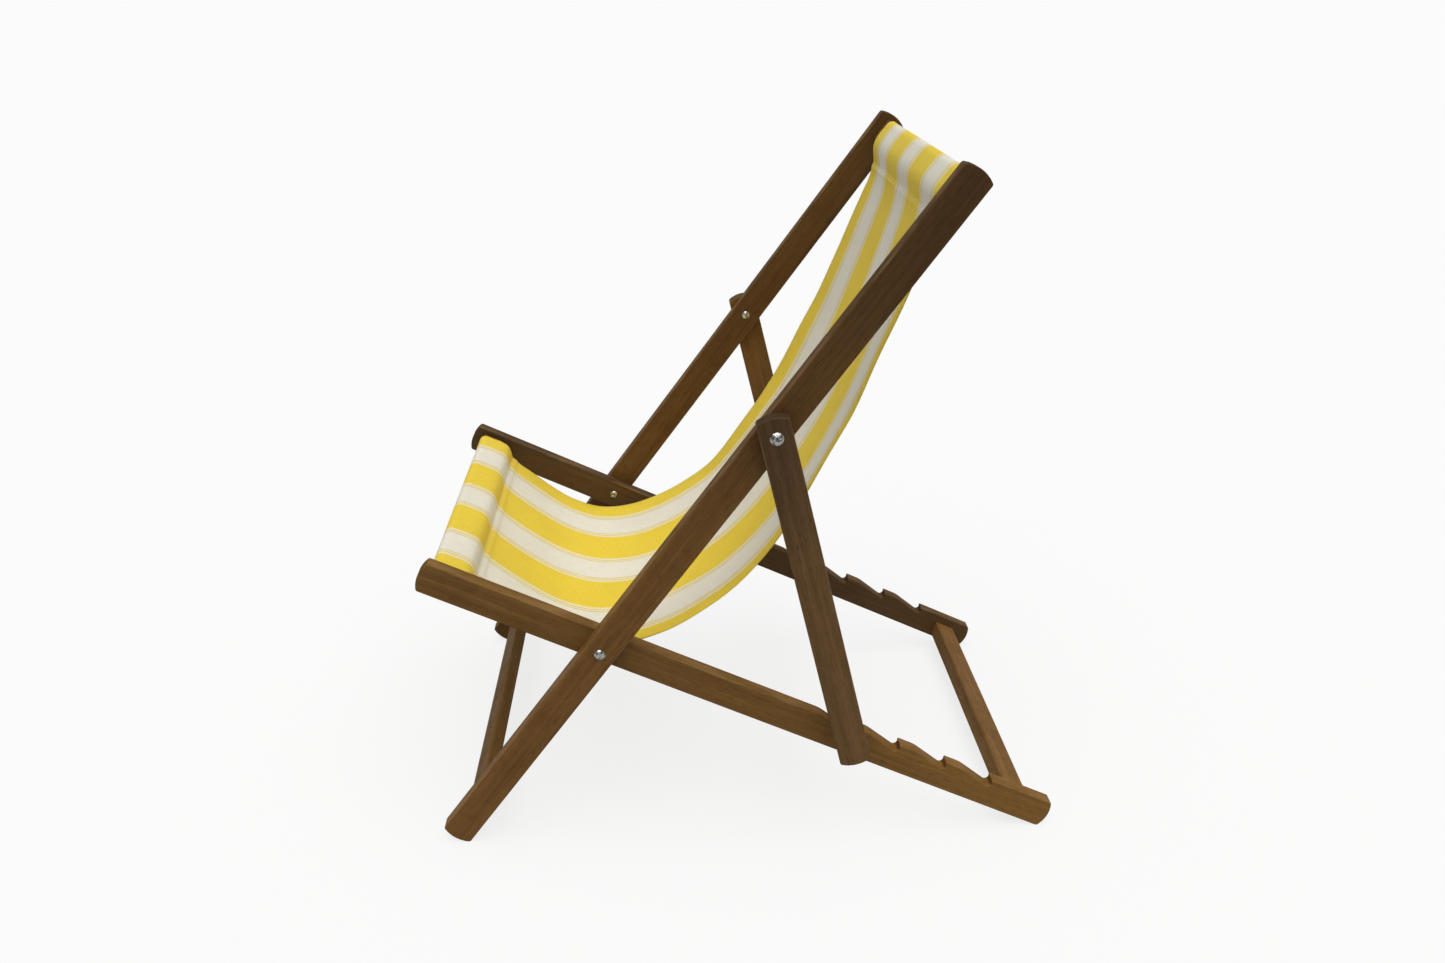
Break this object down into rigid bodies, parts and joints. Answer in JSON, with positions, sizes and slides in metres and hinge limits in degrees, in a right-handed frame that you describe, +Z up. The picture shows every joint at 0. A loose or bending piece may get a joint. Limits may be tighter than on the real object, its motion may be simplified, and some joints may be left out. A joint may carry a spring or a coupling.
{
  "type": "folding deck chair",
  "caption": "Folding hardwood deck chair: a back frame, a notched seat frame and a swinging prop frame carry a striped canvas sling hung between the head rail and the front rail.",
  "frame": {"origin": "on the ground, under the middle of the bounding box", "axes": "+Z up; the chair faces -Y, so +Y is behind the sitter; +X is the sitter's left, and the chair is mirror-symmetric across X = 0"},
  "size_m": [0.6322, 0.881, 0.9376],
  "materials": {
    "back_wood": "dark oiled hardwood, satin, straight grain along each rail",
    "seat_wood": "oiled hardwood, satin, a little lighter than the back frame",
    "prop_wood": "oiled hardwood, satin",
    "canvas": "woven cotton canvas in wide yellow and cream stripes with fine tan pin lines",
    "hardware": "bright nickel-plated steel, polished domes"
  },
  "bodies": {
    "back_frame": {"back_rail_left": "back_wood", "back_rail_right": "back_wood", "head_rail": "back_wood", "foot_rail": "back_wood", "sling": "canvas", "cross_bolt_left": "hardware", "cross_bolt_right": "hardware", "cross_sleeve_nut_left": "hardware", "cross_sleeve_nut_right": "hardware", "cross_washer_left": "hardware", "cross_washer_right": "hardware"},
    "seat_frame": {"seat_rail_left": "seat_wood", "seat_rail_right": "seat_wood", "front_rail": "seat_wood", "rear_rail": "seat_wood"},
    "prop_frame": {"prop_leg_left": "prop_wood", "prop_leg_right": "prop_wood", "prop_bar": "prop_wood", "prop_bolt_left": "hardware", "prop_bolt_right": "hardware", "prop_sleeve_nut_left": "hardware", "prop_sleeve_nut_right": "hardware", "prop_washer_left": "hardware", "prop_washer_right": "hardware"}
  },
  "joints": [
    {"name": "fold", "type": "hinge", "parent": "back_frame", "child": "seat_frame", "pos_m": [0, -0.2029, 0.29953], "axis": [1, 0, 0], "range_deg": [0, 74], "deforming": ["sling"]},
    {"name": "prop_swing", "type": "hinge", "parent": "back_frame", "child": "prop_frame", "pos_m": [0, 0.01563, 0.61163], "axis": [1, 0, 0], "range_deg": [0, 125.9]}
  ],
  "couplings": [
    {"joint": "prop_swing", "follows": "fold", "ratio": 1.7}
  ]
}
